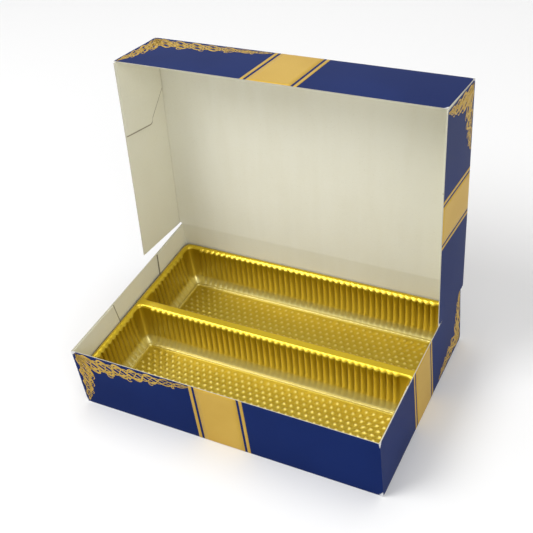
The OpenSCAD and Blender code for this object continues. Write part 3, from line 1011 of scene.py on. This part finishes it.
def tray_rings():
    """Rings of the sheet from the middle of its underside out to the edge, then of its top back in.
    The top falls from a flat rim over a roll into the mouth, deepens its flutes to teeth, goes down a
    drafted wall and round a foot, which is a quarter of an ellipse, and over a step to the floor. The
    rim's and the step's profiles are a share of their width, a height in millimetres and a share of
    the flutes' depth."""
    under, top = [], []
    for share, drop, flute in ((1.0, 0.0, 0.0), (0.7, 0.0, 0.0), (0.42, 0.0, 0.0), (0.28, 0.15, 0.05),
                               (0.14, 0.7, 0.22), (0.0, MOUTH_DROP / MM, 0.45)):
        top.append(rim_ring(share, rim_z - drop * MM, FLUTE_DEPTH * flute))
        under.append(rim_ring(share, rim_z - drop * MM - SHEET))
    for k in np.linspace(0, 1, 4)[1:]:
        top.append(wall_ring(ROLL_IN * k, mouth_z - ROLL_DOWN * k ** 1.5, FLUTE_DEPTH * (0.45 + 0.55 * k)))
    teeth_z = mouth_z - ROLL_DOWN
    for k in np.linspace(0, 1, 6)[1:]:
        top.append(wall_ring(ROLL_IN + (foot_inset - ROLL_IN) * k, teeth_z - (teeth_z - foot_z) * k,
                             FLUTE_DEPTH * (1 - 0.45 * k)))
    for k in np.linspace(0, 1, 7)[1:]:
        turn = k * quarter
        top.append(wall_ring(foot_inset + FOOT_WIDE * (1 - math.cos(turn)),
                             foot_z - FOOT_HIGH * math.sin(turn), FLUTE_DEPTH * (0.55 - 0.13 * k)))
    step_in = foot_inset + FOOT_WIDE
    for share, rise, flute in ((0.1875, 0.05, 0.40), (0.34375, 0.05, 0.37), (0.5, -0.1, 0.33),
                               (0.65625, -0.42, 0.25), (0.8125, -0.9, 0.12), (1.0, -STEP_HIGH / MM, 0.0)):
        top.append(wall_ring(step_in + STEP_WIDE * share, floor_z + STEP_HIGH + rise * MM,
                             FLUTE_DEPTH * flute))
    under.append(wall_ring(-SHEET, mouth_z - SHEET, FLUTE_DEPTH))
    under.append(wall_ring(foot_inset - SHEET, foot_z, FLUTE_DEPTH))
    under.append(wall_ring(step_in, floor_z + STEP_HIGH - SHEET))
    under.append(wall_ring(step_in + STEP_WIDE, tray_low[2]))
    top += floor_rings(top[-1], FLOOR_RINGS, True)
    under += floor_rings(under[-1], 1, False)
    return under[::-1] + top, len(under) - 1


def tray_mesh(name):
    """Both halves of the tray in one mesh. The front half mirrors the back one and shares its points
    down the middle of the divider, where the edge has no face. The groove number is 1 - bulge between
    the flutes of a straight side, and 0 elsewhere."""
    rings, under_edge = tray_rings()
    half = np.concatenate(rings)
    count, turn = len(half), len(stations)
    r = np.repeat(np.arange(len(rings) - 1), turn)
    i = np.tile(np.arange(turn), len(rings) - 1)
    j = (i + 1) % turn
    keep = ~((r == under_edge) & at_middle[i] & at_middle[j])
    r, i, j = r[keep], i[keep], j[keep]
    f = np.stack([r * turn + i, (r + 1) * turn + i, (r + 1) * turn + j, r * turn + j], 1)
    mirrored = np.arange(count) + count
    for ring in (under_edge, under_edge + 1):
        shared = ring * turn + np.nonzero(at_middle)[0]
        mirrored[shared] = shared
    both = np.concatenate([half, half * [1, -1, 1]])
    straight = np.min(np.abs(stations[:, 2:3] - quarter * np.arange(-1, 4)), 1) < NEAR
    groove = np.where(straight & (stations[:, 3] > 0), 1 - stations[:, 3], 0.0)
    return mesh_object(name, both, np.concatenate([f, mirrored[f[:, ::-1]]]), [], None,
                       {"groove": np.tile(groove, 2 * len(rings))})


# Tones of the film with painted light: shaded under the rim, lit lower down, the rim's own yellow
# brightened as a painted reflection, painted shade in the grooves, and painted highlights round the foot
# and on the stud tops.
FILM_SHADED, FILM_LIT, FILM_RIM_WITH_REFLECTION = (0.42, 0.29, 0.006), (0.60, 0.47, 0.06), (0.68, 0.485, 0.012)
FILM_GROOVE_SHADE, FILM_FOOT_HIGHLIGHT, FILM_STUD_HIGHLIGHT = (0.24, 0.15, 0.004), (0.72, 0.66, 0.30), (0.84, 0.74, 0.26)


def tray_finish():
    """Gold-coloured film, glossy and metallised, with light and shade painted into its colour: a clear
    yellow on the rim, brightened as a painted reflection, browner just below it as painted shade and in
    the grooves as painted shade, paler down the walls and a little less pale on the floor as painted
    light, and palest round the foot and on the stud tops as painted highlights. Each tone comes in and
    goes out over a range of heights."""
    f = Finish("gold_film", Roughness=0.3, Metallic=0.65, Coat_Weight=0.35, Coat_Roughness=0.18)
    height = f.node("ShaderNodeSeparateXYZ", None, f.node("ShaderNodeTexCoord", output="Object"), output=2)
    cloudy = f.noise(30.0, 3.0)
    # painted light: the walls go from shaded under the rim to lit towards the foot, and the floor is a
    # little less lit
    off_floor = height.ramp(floor_z + MM, floor_z + 3 * MM, 0.6, 1.0)
    lit_down_wall = height.ramp(foot_z - 2 * MM, mouth_z, 1.0, 0.0) * off_floor
    tone = f.mix(lit_down_wall * 0.8 + (cloudy - 0.5) * 0.3, FILM_SHADED, FILM_LIT)
    # the rim's own clear yellow, made brighter as a painted reflection
    tone = f.mix(height.ramp(mouth_z - MM, rim_z - 0.5 * MM), tone, FILM_RIM_WITH_REFLECTION)
    # painted shade in the grooves between the flutes, down the walls
    on_wall = height.ramp(mouth_z, mouth_z - 3 * MM) * height.ramp(foot_z - 4 * MM, foot_z + 4 * MM)
    tone = f.mix(f.number("groove") * on_wall * 0.5, tone, FILM_GROOVE_SHADE)
    # painted highlight: a pale band round the foot, stopping above the studs
    above_studs = height.ramp(floor_z + 0.7 * MM, floor_z + 1.4 * MM)
    tone = f.mix(height.ramp(foot_z + 2 * MM, foot_z - 3 * MM) * above_studs * 0.6, tone, FILM_FOOT_HIGHLIGHT)
    # painted highlight on the tops of the floor's studs
    stud_highlight = height.ramp(floor_z + 0.1 * MM, floor_z + 0.7 * MM)
    below_step = height.ramp(floor_z + 1.5 * MM, floor_z + 0.9 * MM)
    tone = f.mix(stud_highlight * below_step * 0.6, tone, FILM_STUD_HIGHLIGHT)
    f.set(Base_Color=tone, Roughness=cloudy * 0.1 + 0.25)
    f.bump(f.noise(260.0, 3.0), 0.03 * MM)
    return f.material


tray = tray_mesh("formed_tray")
weld(tray)
tray.data.set_sharp_from_angle(angle=FLUTE_SHARP)
tray.data.materials.append(tray_finish())
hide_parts("sweet_tray")
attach(tray, "base")


# The floor, the light and the camera. A pale floor lies just under the box, which three large soft lamps
# light: the key from the upper left, a weaker fill from the right, and one from above. The camera has the
# photograph's place and turn, and a longer lens, so that the one box fills the frame.
FLOOR_HALF, FLOOR_GAP = 6.0, 0.2 * MM
LIT = (0.0, 0.02, 0.09)
SKY_LIGHT, SKY_SEEN = 0.52, 1.0
PHOTO_PIXELS = 533
FOCAL_PIXELS = 492.5
CLOSER = 1.95
SENSOR = 36.0
VIEW_AZIMUTH, VIEW_ELEVATION, VIEW_ROLL = (math.radians(v) for v in (32.4, 39.3, -8.8))
VIEW_DISTANCE = 0.752
AIM = np.array([-0.0223, 0.0462, 0.0622])


def lamp(name, place, size, power):
    """A round soft lamp that points at the middle of the box."""
    light = bpy.data.lights.new(name, "AREA")
    light.shape, light.size, light.energy = "DISK", size, power
    made = in_scene(name, light)
    made.location = place
    made.rotation_euler = (Vector(LIT) - Vector(place)).to_track_quat("-Z", "Y").to_euler()


floor_mesh = bpy.data.meshes.new("studio_floor")
floor_corners = [(x * FLOOR_HALF, y * FLOOR_HALF, 0) for x, y in ((-1, -1), (1, -1), (1, 1), (-1, 1))]
floor_mesh.from_pydata(floor_corners, [], [(0, 1, 2, 3)])
pale_floor = Finish("studio_floor", Roughness=0.9, Base_Color=(0.86, 0.86, 0.86, 1))
floor_mesh.materials.append(pale_floor.material)
studio_floor = in_scene("studio_floor", floor_mesh)
studio_floor.location.z = -FLOOR_GAP

lamp("key", (-0.9, -0.8, 1.6), 1.1, 22.0)
lamp("fill", (1.4, -0.9, 0.9), 1.2, 7.0)
lamp("top", (0.1, 0.5, 1.9), 1.4, 10.0)


class Sky(Finish):
    """The world being built: white, dim as a light, and bright where it is seen, straight or in gloss."""

    def __init__(self):
        world = bpy.data.worlds.new("studio")
        world.use_nodes = True
        bpy.context.scene.world = world
        self.tree = world.node_tree
        self.shader = self.tree.nodes["Background"]
        self.shader.inputs["Color"].default_value = (1, 1, 1, 1)


sky = Sky()
seen = 0.0
for kind in ("Is Camera Ray", "Is Glossy Ray", "Is Transmission Ray"):
    ray = sky.node("ShaderNodeLightPath", output=kind)
    seen = sky.node("ShaderNodeMath", {"operation": "MAXIMUM"}, ray, seen)
sky.set(Strength=sky.node("ShaderNodeMapRange", None, seen, To_Min=SKY_LIGHT, To_Max=SKY_SEEN))

back_way = np.array([math.sin(VIEW_AZIMUTH) * math.cos(VIEW_ELEVATION),
                     -math.cos(VIEW_AZIMUTH) * math.cos(VIEW_ELEVATION), math.sin(VIEW_ELEVATION)])
level_right = np.array([math.cos(VIEW_AZIMUTH), math.sin(VIEW_AZIMUTH), 0.0])
level_up = np.cross(back_way, level_right)
right_way = math.cos(VIEW_ROLL) * level_right + math.sin(VIEW_ROLL) * level_up
up_way = np.cross(back_way, right_way)
lens = bpy.data.cameras.new("camera")
lens.sensor_width = SENSOR
lens.lens = SENSOR * FOCAL_PIXELS * CLOSER / PHOTO_PIXELS
lens.clip_start, lens.clip_end = 0.01, 50.0
camera = in_scene("camera", lens)
turned = np.eye(4)
turned[:3, :3] = np.stack([right_way, up_way, back_way], 1)
turned[:3, 3] = AIM + VIEW_DISTANCE * back_way
camera.matrix_world = Matrix(turned.tolist())
bpy.context.scene.camera = camera
bpy.context.scene.view_settings.view_transform = "Standard"
